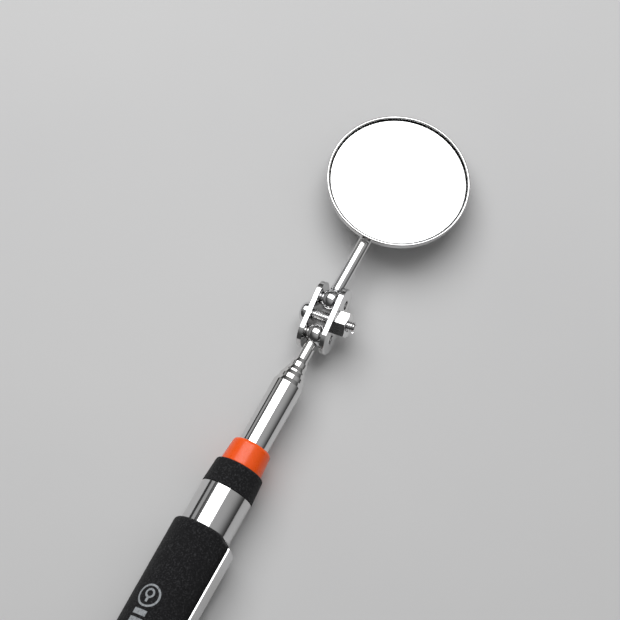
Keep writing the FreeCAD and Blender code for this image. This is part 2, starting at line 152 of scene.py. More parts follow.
def addLathe(work, outline, place=Matrix(), steps=96):
    # turn a closed outline of (along, out) about the X axis of a place
    rings = []
    for along, out in outline:
        if out < weldDistance:
            rings.append([work.verts.new(place @ Vector((along, 0, 0)))] * steps)
            continue
        ring = []
        for step in range(steps):
            turn = math.tau * step / steps
            spot = Vector((along, out * math.cos(turn), out * math.sin(turn)))
            ring.append(work.verts.new(place @ spot))
        rings.append(ring)
    for n, ring in enumerate(rings):
        following = rings[(n + 1) % len(rings)]
        for step in range(steps):
            across = (step + 1) % steps
            corners = [ring[step], ring[across], following[across], following[step]]
            corners = list(dict.fromkeys(corners))
            if len(corners) > 2:
                work.faces.new(corners)


def lathe(name, corners, place=Matrix(), steps=96, arcSteps=8):
    work = bmesh.new()
    addLathe(work, roundCorners(corners, arcSteps), place, steps)
    return fromBmesh(name, work)


def finishPiece(piece, body, material, node):
    piece.data.materials.clear()
    piece.data.materials.append(material)
    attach(piece, body)
    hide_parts(node)


# small helpers for materials

def addNode(tree, kind, inputs=None, **settings):
    made = tree.nodes.new(kind)
    for name, setting in settings.items():
        setattr(made, name, setting)
    for key, given in (inputs or {}).items():
        if isinstance(given, bpy.types.NodeSocket):
            tree.links.new(given, made.inputs[key])
        else:
            made.inputs[key].default_value = given
    return made


def newMaterial(name, slot, sockets):
    material = bpy.data.materials.new(name)
    material.use_nodes = True
    material["slot"] = slot
    shader = material.node_tree.nodes["Principled BSDF"]
    for socket, number in sockets.items():
        shader.inputs[socket].default_value = number
    return material, material.node_tree, shader


def noiseAt(tree, scale, detail=3.0, stretch=(1, 1, 1), roughness=0.55):
    where = addNode(tree, "ShaderNodeTexCoord")
    spread = addNode(tree, "ShaderNodeMapping", {"Vector": where.outputs["Object"], "Scale": stretch})
    return addNode(tree, "ShaderNodeTexNoise", {
        "Vector": spread.outputs["Vector"], "Scale": scale, "Detail": detail, "Roughness": roughness,
    }).outputs["Fac"]


def ranged(tree, fac, low, high, start=0.3, end=0.7):
    return addNode(tree, "ShaderNodeMapRange", {
        "Value": fac, "From Min": start, "From Max": end, "To Min": low, "To Max": high,
    }).outputs["Result"]


def calc(tree, operation, *values):
    return addNode(tree, "ShaderNodeMath", dict(enumerate(values)), operation=operation).outputs[0]


def mixColour(tree, fac, first, second):
    made = addNode(tree, "ShaderNodeMix", {"Factor": fac}, data_type="RGBA")
    for socket, given in ((made.inputs[6], first), (made.inputs[7], second)):
        if isinstance(given, bpy.types.NodeSocket):
            tree.links.new(given, socket)
        else:
            socket.default_value = given
    return made.outputs[2]


def addBump(tree, shader, height, strength, depth):
    bump = addNode(tree, "ShaderNodeBump", {"Height": height, "Strength": strength, "Distance": depth})
    tree.links.new(bump.outputs["Normal"], shader.inputs["Normal"])


# materials

chromeLooks = {
    # lines is how fine the polishing lines are along X, Y and Z
    "tubeChrome": {
        "bright": 0.74, "roughness": (0.035, 0.1), "lines": (25, 900, 900), "depth": 0.004 * mm,
    },
    "jointChrome": {
        "bright": 0.76, "roughness": (0.04, 0.13), "lines": (500, 500, 500), "depth": 0.006 * mm,
    },
    "ballChrome": {
        "bright": 0.76, "roughness": (0.03, 0.1), "lines": (400, 400, 400), "depth": 0.004 * mm,
    },
    "sheetChrome": {
        "bright": 0.7, "roughness": (0.05, 0.14), "lines": (60, 700, 700), "depth": 0.006 * mm,
    },
}
plasticLook = {
    "base": (0.98, 0.11, 0.008, 1),
    "bright": (1.0, 0.12, 0.006, 1),
    "deep": (0.97, 0.1, 0.005, 1),
    "roughness": (0.22, 0.36),
    "mottle": 320,
    "ripple": 0.05 * mm,
}
glassLook = {
    "base": (0.93, 0.94, 0.94, 1),
    "clean": (0.94, 0.95, 0.95, 1),
    "hazy": (0.9, 0.915, 0.92, 1),
    "roughness": (0.004, 0.03),
}
bronzeLook = {
    "base": (0.72, 0.46, 0.22, 1),
    "bright": (0.76, 0.5, 0.25, 1),
    "worn": (0.5, 0.3, 0.14, 1),
    "roughness": (0.22, 0.42),
}
padLook = {
    "base": (0.6, 0.6, 0.57, 1),
    "pale": (0.66, 0.66, 0.62, 1),
    "dark": (0.44, 0.44, 0.42, 1),
    "cells": 1800,
    "cellDepth": 0.1 * mm,
}
foamLook = {
    "base": (0.02, 0.02, 0.022, 1),
    # the pit tone is painted shade in the sunk cells; speck is the paler tone on the raised grain
    "pitShade": (0.007, 0.007, 0.008, 1),
    "speck": (0.052, 0.053, 0.056, 1),
    "blotch": (0.009, 0.009, 0.01, 1),
    "cells": 1900.0,
    "grain": 1500,
    "cellDepth": 0.12 * mm,
    "roughness": (0.92, 0.6),            # bare, and under the ink
}
gripMark = {
    "middle": 63.4 * mm,                 # from the butt to the badge's middle
    "badge": 3.9 * mm,
    "line": 0.72 * mm,
    "ring": 1.45 * mm,
    "ringShift": 0.85 * mm,
    "stickBack": 0.95,                   # of the ring's radius, as the stick's half length
    "stickReach": 0.75,
    "stickHalf": 0.45 * mm,
    "barStart": 58.6 * mm,
    "barPitch": 3.3 * mm,
    "barHalf": 1.05 * mm,
    "barReach": 2.5 * mm,
    "barCount": 5,
    "softEdge": 0.08 * mm,
    "ink": (0.36, 0.38, 0.4, 1),
}


def chrome(name):
    # polished plate: faint handling smudges, fine polishing lines and a trace of ripple
    look = chromeLooks[name]
    bright = look["bright"]
    clean = (bright, bright, bright * 1.01, 1)
    smudged = (bright * 0.93, bright * 0.92, bright * 0.9, 1)
    material, tree, shader = newMaterial(name, "chrome_plate", {"Base Color": clean, "Metallic": 1.0})
    smudge = noiseAt(tree, 55, 4)
    lines = noiseAt(tree, 1, 2, stretch=look["lines"])
    both = calc(tree, "MULTIPLY", smudge, lines)
    tree.links.new(ranged(tree, both, *look["roughness"], 0.12, 0.42), shader.inputs["Roughness"])
    tint = mixColour(tree, ranged(tree, smudge, 0, 1, 0.35, 0.75), clean, smudged)
    tree.links.new(tint, shader.inputs["Base Color"])
    addBump(tree, shader, lines, 0.25, look["depth"])
    return material


def orangePlastic():
    # glossy moulded plastic with a soft, slightly wavy highlight
    look = plasticLook
    material, tree, shader = newMaterial("orangePlastic", "orange_plastic", {
        "Base Color": look["base"], "Roughness": 0.3, "IOR": 1.42,
        "Coat Weight": 0.12, "Coat Roughness": 0.12, "Subsurface Weight": 0.05,
        "Subsurface Radius": (1.0, 0.3, 0.1), "Subsurface Scale": 0.6 * mm,
    })
    mottle = noiseAt(tree, look["mottle"], 4)
    tree.links.new(ranged(tree, mottle, *look["roughness"]), shader.inputs["Roughness"])
    tone = mixColour(tree, ranged(tree, noiseAt(tree, 70, 2), 0, 1), look["bright"], look["deep"])
    tree.links.new(tone, shader.inputs["Base Color"])
    addBump(tree, shader, mottle, 0.12, look["ripple"])
    return material


def silveredGlass():
    # a front that mirrors cleanly, with the faint haze of a wiped glass
    look = glassLook
    material, tree, shader = newMaterial("silveredGlass", "silvered_glass", {
        "Base Color": look["base"], "Metallic": 1.0, "Roughness": 0.01,
        "Coat Weight": 0.6, "Coat Roughness": 0.01,
    })
    haze = noiseAt(tree, 60, 5, stretch=(1, 2.5, 1))
    tree.links.new(ranged(tree, haze, *look["roughness"], 0.45, 0.8), shader.inputs["Roughness"])
    tone = mixColour(tree, ranged(tree, haze, 0, 1, 0.5, 0.8), look["clean"], look["hazy"])
    tree.links.new(tone, shader.inputs["Base Color"])
    return material


def springBronze():
    # satin strip with wear along its length
    look = bronzeLook
    material, tree, shader = newMaterial("springBronze", "spring_bronze", {
        "Base Color": look["base"], "Metallic": 1.0, "Roughness": 0.3,
    })
    wear = noiseAt(tree, 160, 4, stretch=(6, 1, 1))
    tree.links.new(ranged(tree, wear, *look["roughness"]), shader.inputs["Roughness"])
    tone = mixColour(tree, ranged(tree, wear, 0, 1), look["bright"], look["worn"])
    tree.links.new(tone, shader.inputs["Base Color"])
    return material


def padFoam():
    # pale foam tape
    look = padLook
    material, tree, shader = newMaterial("padFoam", "pad_foam", {
        "Base Color": look["base"], "Roughness": 0.85,
    })
    cells = noiseAt(tree, look["cells"], 3)
    tone = mixColour(tree, ranged(tree, cells, 0, 1), look["pale"], look["dark"])
    tree.links.new(tone, shader.inputs["Base Color"])
    addBump(tree, shader, cells, 0.6, look["cellDepth"])
    return material


def gripFoam():
    # closed-cell foam: matte black, with open cells cut through by the grinding of the surface; the sunk grain of
    # the cut cells is painted darker as painted shade, and the raised grain paler
    look = foamLook
    material, tree, shader = newMaterial("gripFoam", "grip_foam", {
        "Base Color": look["base"], "Roughness": 0.9, "Specular IOR Level": 0.25,
        "Sheen Weight": 0.05, "Sheen Roughness": 0.5,
    })
    where = addNode(tree, "ShaderNodeTexCoord")
    cells = addNode(tree, "ShaderNodeTexVoronoi", {
        "Vector": where.outputs["Object"], "Scale": look["cells"], "Randomness": 1.0,
    })
    grain = noiseAt(tree, look["grain"], 3, roughness=0.7)
    blotch = noiseAt(tree, 130, 3)
    # painted shade: darker where the grain, and so the bump, sinks into the cut cells, and paler where it rises
    tone = mixColour(tree, ranged(tree, grain, 0, 1, 0.5, 0.72), look["pitShade"], look["speck"])
    tone = mixColour(tree, ranged(tree, blotch, 0.0, 0.45, 0.4, 0.7), tone, look["blotch"])
    ink = printedMark(tree, grain)
    tone = mixColour(tree, ink, tone, gripMark["ink"])
    tree.links.new(tone, shader.inputs["Base Color"])
    tree.links.new(ranged(tree, ink, *look["roughness"], 0, 1), shader.inputs["Roughness"])
    height = calc(tree, "ADD", cells.outputs["Distance"], grain)
    addBump(tree, shader, height, 0.9, look["cellDepth"])
    return material


def printedMark(tree, grain):
    # a plain badge with a mirror on a stick, then a row of plain bars, in worn grey ink;
    # the grip's own map runs along the tool in u and round it in v, in metres
    mark = gripMark
    wrap = addNode(tree, "ShaderNodeUVMap", uv_map="wrap")
    split = addNode(tree, "ShaderNodeSeparateXYZ", {"Vector": wrap.outputs["UV"]})

    def less(first, second):
        return calc(tree, "SUBTRACT", first, second)

    def within(distance, half):
        # below 0 where the distance is under half, either way
        return less(calc(tree, "ABSOLUTE", distance), half)

    def inBoth(first, second):
        return calc(tree, "MAXIMUM", first, second)

    def fromPoint(u, v):
        return calc(tree, "SQRT", calc(tree, "ADD", calc(tree, "MULTIPLY", u, u),
                                       calc(tree, "MULTIPLY", v, v)))

    along = less(split.outputs["X"], mark["middle"])
    across = split.outputs["Y"]
    badge = within(less(fromPoint(along, across), mark["badge"]), mark["line"] / 2)
    far = fromPoint(less(along, mark["ringShift"]), across)
    ring = within(less(far, mark["ring"]), mark["line"] / 2)
    stickAlong = calc(tree, "ADD", along, mark["ring"] * mark["stickBack"])
    stick = inBoth(within(stickAlong, mark["ring"] * mark["stickReach"]), within(across, mark["stickHalf"]))
    beyond = less(mark["barStart"] + mark["barPitch"], split.outputs["X"])
    row = less(calc(tree, "MODULO", beyond, mark["barPitch"]), mark["barPitch"] / 2)
    bars = inBoth(within(row, mark["barHalf"]), within(across, mark["barReach"]))
    halfRow = mark["barCount"] / 2
    rowEnd = within(less(beyond, mark["barPitch"] * (1 + halfRow)), mark["barPitch"] * halfRow)
    nearest = badge
    for shape in (ring, stick, inBoth(bars, rowEnd)):
        nearest = calc(tree, "MINIMUM", nearest, shape)
    inked = ranged(tree, nearest, 1, 0, -mark["softEdge"], mark["softEdge"])
    worn = ranged(tree, grain, 0.35, 1, 0.3, 0.5)
    return calc(tree, "MULTIPLY", inked, worn)


tubeChrome = chrome("tubeChrome")
jointChrome = chrome("jointChrome")
ballChrome = chrome("ballChrome")
sheetChrome = chrome("sheetChrome")
plastic = orangePlastic()
glassFace = silveredGlass()
foam = gripFoam()

nodeMaterials = {
    "chrome_plate": jointChrome, "spring_bronze": springBronze(), "pad_foam": padFoam(),
    "orange_plastic": plastic, "grip_foam": foam, "silvered_glass": glassFace,
}
slotOf = {part["node"]: part["material_slot"] for part in frame["record"]["subparts"]}
for node, shape in frame["nodes"].items():
    shape.data.materials.clear()
    shape.data.materials.append(nodeMaterials[slotOf[node]])
print("materials are ready")


# telescoping sections

sections = {
    # outside radius of each tube, and of the section that slides in its mouth
    "outer_tube": {"body": "handle", "radius": 5.45 * mm, "inside": 4.65 * mm},
    "second_tube": {"body": "second_section", "radius": 4.65 * mm, "inside": 3.85 * mm},
    "third_tube": {"body": "third_section", "radius": 3.85 * mm, "inside": 3.05 * mm},
    "fourth_tube": {"body": "fourth_section", "radius": 3.05 * mm, "inside": 2.25 * mm},
}
tubeShape = {
    "wall": 0.4 * mm,
    "lip": 1.6 * mm,                     # length of the rolled-in mouth
    "lipClose": 0.6,                     # share of it that lies close to the next section
    "lipGap": 0.03 * mm,
    "lipEdge": 0.14 * mm,
    "lipBend": 0.5 * mm,
    "innerEdge": 0.03 * mm,
    "outerEdge": 0.06 * mm,
    "mouthRound": 0.8 * mm,
    "tailDrop": 0.05 * mm,
    "beadWidth": 0.7 * mm,
    "beadFlank": 0.15,                   # share of the width that each flank takes
    "beadRise": 0.2 * mm,
    "beadRound": 0.12 * mm,
    "beadSpacing": 8.7 * mm,
    "steps": 128,
}


def beads(start, radius):
    # the two rolled beads on a section's tail, from front to back
    shape = tubeShape
    width, top = shape["beadWidth"], radius + shape["beadRise"]
    corners = []
    for place in (start + shape["beadSpacing"], start):
        corners += [
            (place + width, radius),
            (place + width * (1 - shape["beadFlank"]), top, shape["beadRound"]),
            (place + width * shape["beadFlank"], top, shape["beadRound"]),
            (place, radius),
        ]
    return corners


def tube(node, facts):
    low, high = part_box(node)
    shape, radius, end = tubeShape, facts["radius"], high.x
    bore, lip = radius - shape["wall"], facts["inside"] + shape["lipGap"]
    corners = [
        (low.x, bore),
        (end - shape["lip"] - (bore - lip), bore, shape["lipBend"]),
        (end - shape["lip"] * shape["lipClose"], lip, shape["lipBend"]),
        (end, lip, shape["innerEdge"]),
        (end, lip + shape["lipEdge"], shape["outerEdge"]),
        (end - shape["lip"], radius, shape["mouthRound"]),
    ]
    if node != "outer_tube":
        corners += beads(low.x, radius)
    corners.append((low.x, radius - shape["tailDrop"]))
    made = lathe(node + "Turned", corners, steps=shape["steps"])
    finishPiece(made, facts["body"], tubeChrome, node)


for node, facts in sections.items():
    tube(node, facts)
print("tubes are turned")


# places that the joints and the glass give

lowerBall = Vector(joints["lower_swing"]["pos_m"])
upperBall = Vector(joints["upper_swing"]["pos_m"])
screwAxis = Vector(joints["nut_turn"]["axis"]).normalized()
betweenBalls = (upperBall - lowerBall).normalized()
clampPlace = placeOf(betweenBalls, screwAxis.cross(betweenBalls), screwAxis, (lowerBall + upperBall) / 2)
mirrorTilt = math.radians(9.5)
mirrorNormal = Vector((math.sin(mirrorTilt), 0, math.cos(mirrorTilt)))
glassLow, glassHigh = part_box("mirror_glass")
glassMiddle = (glassLow + glassHigh) / 2


# foam grip, squeezed in under the clip

grip = {
    "rear": 4.0 * mm,
    "front": 119.0 * mm,
    "bore": 5.45 * mm,
    "ferruleStart": 112.4 * mm,
    "ferrule": 6.4 * mm,
    "outside": 11.25 * mm,
    "rearRound": 0.9 * mm,
    "shoulderRound": 1.5 * mm,
    "squeezed": 8.78 * mm,
    "squeezedPast": 0.05 * mm,           # how far the squeeze reaches past the clip's band
    "squeezedRound": 0.2 * mm,
    "lipBack": 9.55 * mm,
    "lipFront": 8.9 * mm,
    "lipRound": 0.9 * mm,
    "skinAbove": 6.72 * mm,              # the foam's outside is further out than this
    "arcSteps": 7,
    "spacing": 0.42 * mm,
    "steps": 264,
    "sharpAngle": 40,
    "fill": 0.9,
    "grainScale": 900.0,
    "grainDepth": 0.045 * mm,
    "lumpScale": 110.0,
    "lumpDepth": 0.05 * mm,
    "lumpShift": (7, 3, 1),
    "calm": 0.6 * mm,                    # length beside the band over which the grain dies away
    "underClip": 0.05 * mm,
    "hollowFrom": 1.25,                  # the hollow's sides, in half widths of the clip's arm
    "hollowTo": 2.3,
    "hollowPast": 1.0 * mm,
    "markAngle": math.radians(65.2),     # round from +Y towards +Z
}
clip = {
    "angle": math.atan2(0.2300, -0.9732),
    "sheet": 0.55 * mm,
    "bandStart": 94.1 * mm,
    "bandEnd": 109.3 * mm,
    "bandMiddle": 9.175 * mm,            # radius of the sheet's middle
    "bandHalf": math.radians(170),
    "bandCorner": 1.2 * mm,
    "bandCornerShare": 0.1,              # of the half band, where its ends are rounded
    "neckEnd": 93.55 * mm,
    "neckRound": 0.7 * mm,
    "riseEnd": 91.15 * mm,
    "riseRound": 1.4 * mm,
    "armMiddle": 12.625 * mm,
    "armBend": 59.0 * mm,
    "bendRound": 3.2 * mm,
    "dip": (54.5 * mm, 12.1 * mm, 3.0 * mm),
    "tip": (50.0 * mm, 13.1 * mm),
    "armHalf": math.radians(17.5),
    "flare": math.radians(17),
    "flareLength": 3.2 * mm,
    "flatStart": 0.6 * mm,               # along the arm, where it begins to turn into a plane strip
    "flatFrom": 5.0 * mm,
    "flatLevel": 0.955,                  # of the arm's radius
    "tipRound": 2.6 * mm,
    "edgeRound": 0.11 * mm,
    "edgeAngle": math.radians(50),
    "rowLength": 0.35 * mm,
    "columns": 24,
    "bandColumns": 46,
    "bandRows": 30,
    "sharpAngle": 60,
}


def clipUnderside(x):
    # the radius of the clip's inner face over the foam at a station
    rise = (clip["neckEnd"] - x) / (clip["neckEnd"] - clip["riseEnd"])
    rise = min(max(rise, 0), 1)
    return clip["bandMiddle"] + (clip["armMiddle"] - clip["bandMiddle"]) * rise - clip["sheet"] / 2


def foamPoint(x, out, angle):
    # a point of the foam with its lumps, its cut cells and the hollow under the clip's neck
    facts = grip
    if out > facts["skinAbove"]:
        spot = Vector((x, out * math.cos(angle), out * math.sin(angle)))
        grain = noise.noise(spot * facts["grainScale"]) * facts["grainDepth"]
        lump = noise.noise(spot * facts["lumpScale"] + Vector(facts["lumpShift"])) * facts["lumpDepth"]
        free = 1
        if x < clip["bandEnd"]:
            free = 1 - fade(x, clip["bandStart"] - facts["calm"], clip["bandStart"])
        out += (grain + lump) * free
        if clip["riseEnd"] - facts["hollowPast"] < x < clip["bandStart"]:
            away = abs(math.remainder(angle - clip["angle"], math.tau))
            near = 1 - fade(away, clip["armHalf"] * facts["hollowFrom"], clip["armHalf"] * facts["hollowTo"])
            pressed = min(out, clipUnderside(x) - facts["underClip"])
            out += (pressed - out) * near
    return Vector((x, out * math.cos(angle), out * math.sin(angle)))


def foamGrip():
    facts = grip
    start, end = clip["bandStart"] - facts["squeezedPast"], clip["bandEnd"] + facts["squeezedPast"]
    outline = roundCorners([
        (facts["rear"], facts["bore"]),
        (facts["rear"], facts["outside"], facts["rearRound"]),
        (start, facts["outside"], facts["shoulderRound"]),
        (start, facts["squeezed"], facts["squeezedRound"]),
        (end, facts["squeezed"], facts["squeezedRound"]),
        (end, facts["lipBack"], facts["lipRound"] / 2),
        (facts["front"], facts["lipFront"], facts["lipRound"]),
        (facts["front"], facts["ferrule"]),
        (facts["ferruleStart"], facts["ferrule"]),
        (facts["ferruleStart"], facts["bore"]),
    ], arcSteps=facts["arcSteps"])
    lastOuter = max(n for n, point in enumerate(outline) if point.y > facts["skinAbove"])
    outline = resample(outline[:lastOuter + 1], facts["spacing"]) + outline[lastOuter + 1:]
    work = bmesh.new()
    wrap = work.loops.layers.uv.new("wrap")
    steps = facts["steps"]
    rings = []
    for x, out in outline:
        rings.append([work.verts.new(foamPoint(x, out, math.tau * step / steps)) for step in range(steps)])
    arc = math.tau * facts["outside"] / steps
    markStep = facts["markAngle"] / math.tau * steps
    for n, ring in enumerate(rings):
        following = rings[(n + 1) % len(rings)]
        for step in range(steps):
            across = (step + 1) % steps
            face = work.faces.new((ring[step], ring[across], following[across], following[step]))
            turn = (step - markStep + steps / 2) % steps - steps / 2
            for loop, column in zip(face.loops, (0, 1, 1, 0)):
                loop[wrap].uv = (loop.vert.co.x, (turn + column) * arc)
    made = fromBmesh("foamGrip", work, facts["sharpAngle"])
    finishPiece(made, "handle", foam, "foam_grip")


# pocket clip, one bent sheet

def clipPath():
    facts = clip
    return resample(roundCorners([
        (facts["bandStart"], facts["bandMiddle"]),
        (facts["neckEnd"], facts["bandMiddle"], facts["neckRound"]),
        (facts["riseEnd"], facts["armMiddle"], facts["riseRound"]),
        (facts["armBend"], facts["armMiddle"], facts["bendRound"]),
        facts["dip"],
        facts["tip"],
    ], closed=False), facts["rowLength"])


def cutBack(radius, toEnd):
    # how far a rounded corner of a sheet stands back, this near to the sheet's end
    back = max(0, radius - toEnd)
    return radius - math.sqrt(radius ** 2 - back * back)


def armHalfAt(travelled, left):
    # half the arm's angle: it flares into the band at its root and is rounded at its tip
    facts = clip
    half = facts["armHalf"]
    if travelled < facts["flareLength"]:
        share = 1 - travelled / facts["flareLength"]
        half += facts["flare"] * (1 - math.sqrt(max(0, 1 - share * share)))
    if left < facts["tipRound"]:
        half -= cutBack(facts["tipRound"], left) / facts["armMiddle"]
    return half


def clipSpot(x, out, angle, flat=0.0):
    # flat goes from 0, curved round the tool, to 1, a plane strip
    level = out * (math.cos(angle) * (1 - flat) + clip["flatLevel"] * flat)
    return Matrix.Rotation(clip["angle"], 4, "X") @ Vector((x, level, out * math.sin(angle)))


def addBand(work, armAngles):
    # the band has the arm's columns in its middle and its own on each side
    facts = clip
    root, count = armAngles[-1], facts["bandColumns"]
    side = [root + (facts["bandHalf"] - root) * n / count for n in range(1, count + 1)]
    columns = [-angle for angle in reversed(side)] + armAngles + side
    rounded = facts["bandHalf"] * facts["bandCornerShare"]
    straight = facts["bandHalf"] * (1 - facts["bandCornerShare"])
    rows = []
    for n in range(facts["bandRows"] + 1):
        x = facts["bandStart"] + (facts["bandEnd"] - facts["bandStart"]) * n / facts["bandRows"]
        trim = cutBack(facts["bandCorner"], min(x - facts["bandStart"], facts["bandEnd"] - x))
        row = []
        for angle in columns:
            near = max(0, abs(angle) - straight) / rounded
            angle -= math.copysign(near * trim / facts["bandMiddle"], angle)
            row.append(work.verts.new(clipSpot(x, facts["bandMiddle"], angle)))
        rows.append(row)
    weave(work, rows)


def addArm(work, armAngles):
    facts = clip
    path = clipPath()
    lengths = [0.0]
    for here, there in zip(path, path[1:]):
        lengths.append(lengths[-1] + (there - here).length)
    rows = []
    for point, travelled in zip(path, lengths):
        half = armHalfAt(travelled, lengths[-1] - travelled)
        flat = fade(travelled, facts["flatStart"], facts["flatFrom"])
        rows.append([work.verts.new(clipSpot(point.x, point.y, angle / armAngles[-1] * half, flat))
                     for angle in armAngles])
    weave(work, rows)


def pocketClip():
    facts = clip
    root = facts["armHalf"] + facts["flare"]
    armAngles = [root * (2 * n / facts["columns"] - 1) for n in range(facts["columns"] + 1)]
    work = bmesh.new()
    addBand(work, armAngles)
    addArm(work, armAngles)
    made = fromBmesh("pocketClip", work, facts["sharpAngle"])
    thick = made.modifiers.new("sheet", "SOLIDIFY")
    thick.thickness = facts["sheet"]
    thick.offset = 0
    thick.use_even_offset = True
    edge = made.modifiers.new("edges", "BEVEL")
    edge.width = facts["edgeRound"]
    edge.segments = 2
    edge.limit_method = "ANGLE"
    edge.angle_limit = facts["edgeAngle"]
    edge.harden_normals = True
    finishPiece(made, "handle", sheetChrome, "pocket_clip")


# orange collar and end cap

collar = {
    "back": 7.75 * mm,
    "backRound": 0.35 * mm,
    "front": 7.05 * mm,
    "frontRound": 1.5 * mm,
    "mouthGap": 0.02 * mm,
    "mouthRound": 0.15 * mm,
    "steps": 144,
    "arcSteps": 10,
}
cap = {
    "flange": 4.0 * mm,
    "radius": 9.6 * mm,
    "edgeRound": 1.8 * mm,
    "innerRound": 0.4 * mm,
    "plug": 5.03 * mm,
    "dish": 6.4 * mm,
    "dishDepth": 0.7 * mm,
    "dishRound": 0.5 * mm,
    "dishSlope": 0.3 * mm,
    "dishEdge": 0.25 * mm,
    "steps": 128,
}


def gripCollar():
    low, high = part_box("grip_collar")
    facts = collar
    made = lathe("gripCollar", [
        (low.x, grip["bore"]),
        (low.x, grip["ferrule"]),
        (grip["front"], grip["ferrule"]),
        (grip["front"], facts["back"], facts["backRound"]),
        (high.x, facts["front"], facts["frontRound"]),
        (high.x, grip["bore"] + facts["mouthGap"], facts["mouthRound"]),
    ], steps=facts["steps"], arcSteps=facts["arcSteps"])
    finishPiece(made, "handle", plastic, "grip_collar")


def endCap():
    low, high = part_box("end_cap")
    facts = cap
    made = lathe("endCap", [
        (low.x + facts["dishDepth"], 0),
        (low.x + facts["dishDepth"], facts["dish"], facts["dishRound"]),
        (low.x, facts["dish"] + facts["dishSlope"], facts["dishEdge"]),
        (low.x, facts["radius"], facts["edgeRound"]),
        (facts["flange"], facts["radius"], facts["innerRound"]),
        (facts["flange"], facts["plug"]),
        (high.x, facts["plug"], facts["innerRound"]),
        (high.x, 0),
    ], steps=facts["steps"])
    finishPiece(made, "handle", plastic, "end_cap")


foamGrip()
pocketClip()
gripCollar()
endCap()
print("handle is covered")


# inner rod and the balls

rod = {
    "radius": 2.25 * mm,
    "spigot": 1.5 * mm,
    "shoulder": 3.5 * mm,                # from the ball's middle
    "edge": 0.3 * mm,
}
ball = {
    "radius": 4.0 * mm,
    "flat": 3.4 * mm,
    "bore": 1.53 * mm,
    "boreEnd": 0.41 * mm,
    "arcSteps": 56,
    "steps": 112,
}


def innerRod():
    low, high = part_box("inner_rod")
    shoulder = lowerBall.x - rod["shoulder"]
    made = lathe("innerRod", [
        (low.x, 0),
        (high.x, 0),
        (high.x, rod["spigot"]),
        (shoulder, rod["spigot"]),
        (shoulder, rod["radius"], rod["edge"]),
        *beads(low.x, rod["radius"]),
        (low.x, rod["radius"] - tubeShape["tailDrop"]),
    ])
    finishPiece(made, "inner_section", tubeChrome, "inner_rod")


def ballPiece(name, node, body, middle, turned):
    facts = ball
    outline = [Vector((-facts["boreEnd"], 0)), Vector((-facts["boreEnd"], facts["bore"])),
               Vector((-facts["flat"], facts["bore"]))]
    first = math.acos(facts["flat"] / facts["radius"])
    for n in range(facts["arcSteps"] + 1):
        turn = first + (math.pi - first) * n / facts["arcSteps"]
        outline.append(Vector((-math.cos(turn), math.sin(turn))) * facts["radius"])
    outline[-1].y = 0
    place = Matrix.Translation(middle) @ Matrix.Rotation(turned, 4, "Z")
    work = bmesh.new()
    addLathe(work, outline, place, facts["steps"])
    finishPiece(fromBmesh(name, work), body, ballChrome, node)


innerRod()
ballPiece("lowerBallTurned", "lower_ball", "lower_swivel", lowerBall, 0)
ballPiece("upperBallTurned", "upper_ball", "upper_swivel", upperBall, math.pi)
print("rod and balls are turned")


# clamp screw: a pan head with a cross recess, and a thread wound by nodes

screw = {
    "headTop": -8.6 * mm,                # along the screw from the middle of the clamp
    "headBottom": -5.2 * mm,
    "end": 11.9 * mm,
    "endBevel": 0.4 * mm,
    "headRadius": 3.6 * mm,
    "headRound": 2.0 * mm,
    "headEdge": 0.2 * mm,
    "core": 1.72 * mm,
    "arcSteps": 12,
    "recessReach": 1.9 * mm,
    "recessHalf": 0.45 * mm,
    "recessDepth": 1.7 * mm,
    "recessTaper": 0.72,                 # the recess's size at its bottom
    "cutterLift": 0.4 * mm,
    "cutterFlare": 1.08,
}
thread = {
    "Middle radius": 1.72 * mm,
    "Ridge": 0.38 * mm,
    "Pitch": 0.8 * mm,
    "Turns": 20.5,
    "Start": -4.9 * mm,
    "Material": jointChrome,
}


def threadTree():
    # a four-sided ridge swept along a helix, joined to the screw's body
    tree = bpy.data.node_groups.new("screwThread", "GeometryNodeTree")
    face = tree.interface
    face.new_socket("Geometry", in_out="INPUT", socket_type="NodeSocketGeometry")
    for name in thread:
        kind = "NodeSocketMaterial" if name == "Material" else "NodeSocketFloat"
        face.new_socket(name, in_out="INPUT", socket_type=kind)
    face.new_socket("Geometry", in_out="OUTPUT", socket_type="NodeSocketGeometry")
    given = addNode(tree, "NodeGroupInput").outputs
    height = calc(tree, "MULTIPLY", given["Pitch"], given["Turns"])
    helix = addNode(tree, "GeometryNodeCurveSpiral", {
        "Resolution": 40, "Rotations": given["Turns"], "Start Radius": given["Middle radius"],
        "End Radius": given["Middle radius"], "Height": height,
    })
    upright = addNode(tree, "GeometryNodeSetCurveNormal", {"Curve": helix.outputs["Curve"]}, mode="Z_UP")
    ridge = addNode(tree, "GeometryNodeCurvePrimitiveCircle", {"Resolution": 4, "Radius": given["Ridge"]})
    swept = addNode(tree, "GeometryNodeCurveToMesh", {
        "Curve": upright.outputs["Curve"], "Profile Curve": ridge.outputs["Curve"], "Fill Caps": True,
    })
    lift = addNode(tree, "ShaderNodeCombineXYZ", {"Z": given["Start"]})
    placed = addNode(tree, "GeometryNodeTransform", {
        "Geometry": swept.outputs["Mesh"], "Translation": lift.outputs["Vector"],
    })
    joined = addNode(tree, "GeometryNodeJoinGeometry")
    tree.links.new(given["Geometry"], joined.inputs["Geometry"])
    tree.links.new(placed.outputs["Geometry"], joined.inputs["Geometry"])
    whole = addNode(tree, "GeometryNodeRealizeInstances", {"Geometry": joined.outputs["Geometry"]})
    covered = addNode(tree, "GeometryNodeSetMaterial", {
        "Geometry": whole.outputs["Geometry"], "Material": given["Material"],
    })
    addNode(tree, "NodeGroupOutput", {"Geometry": covered.outputs["Geometry"]})
    return tree


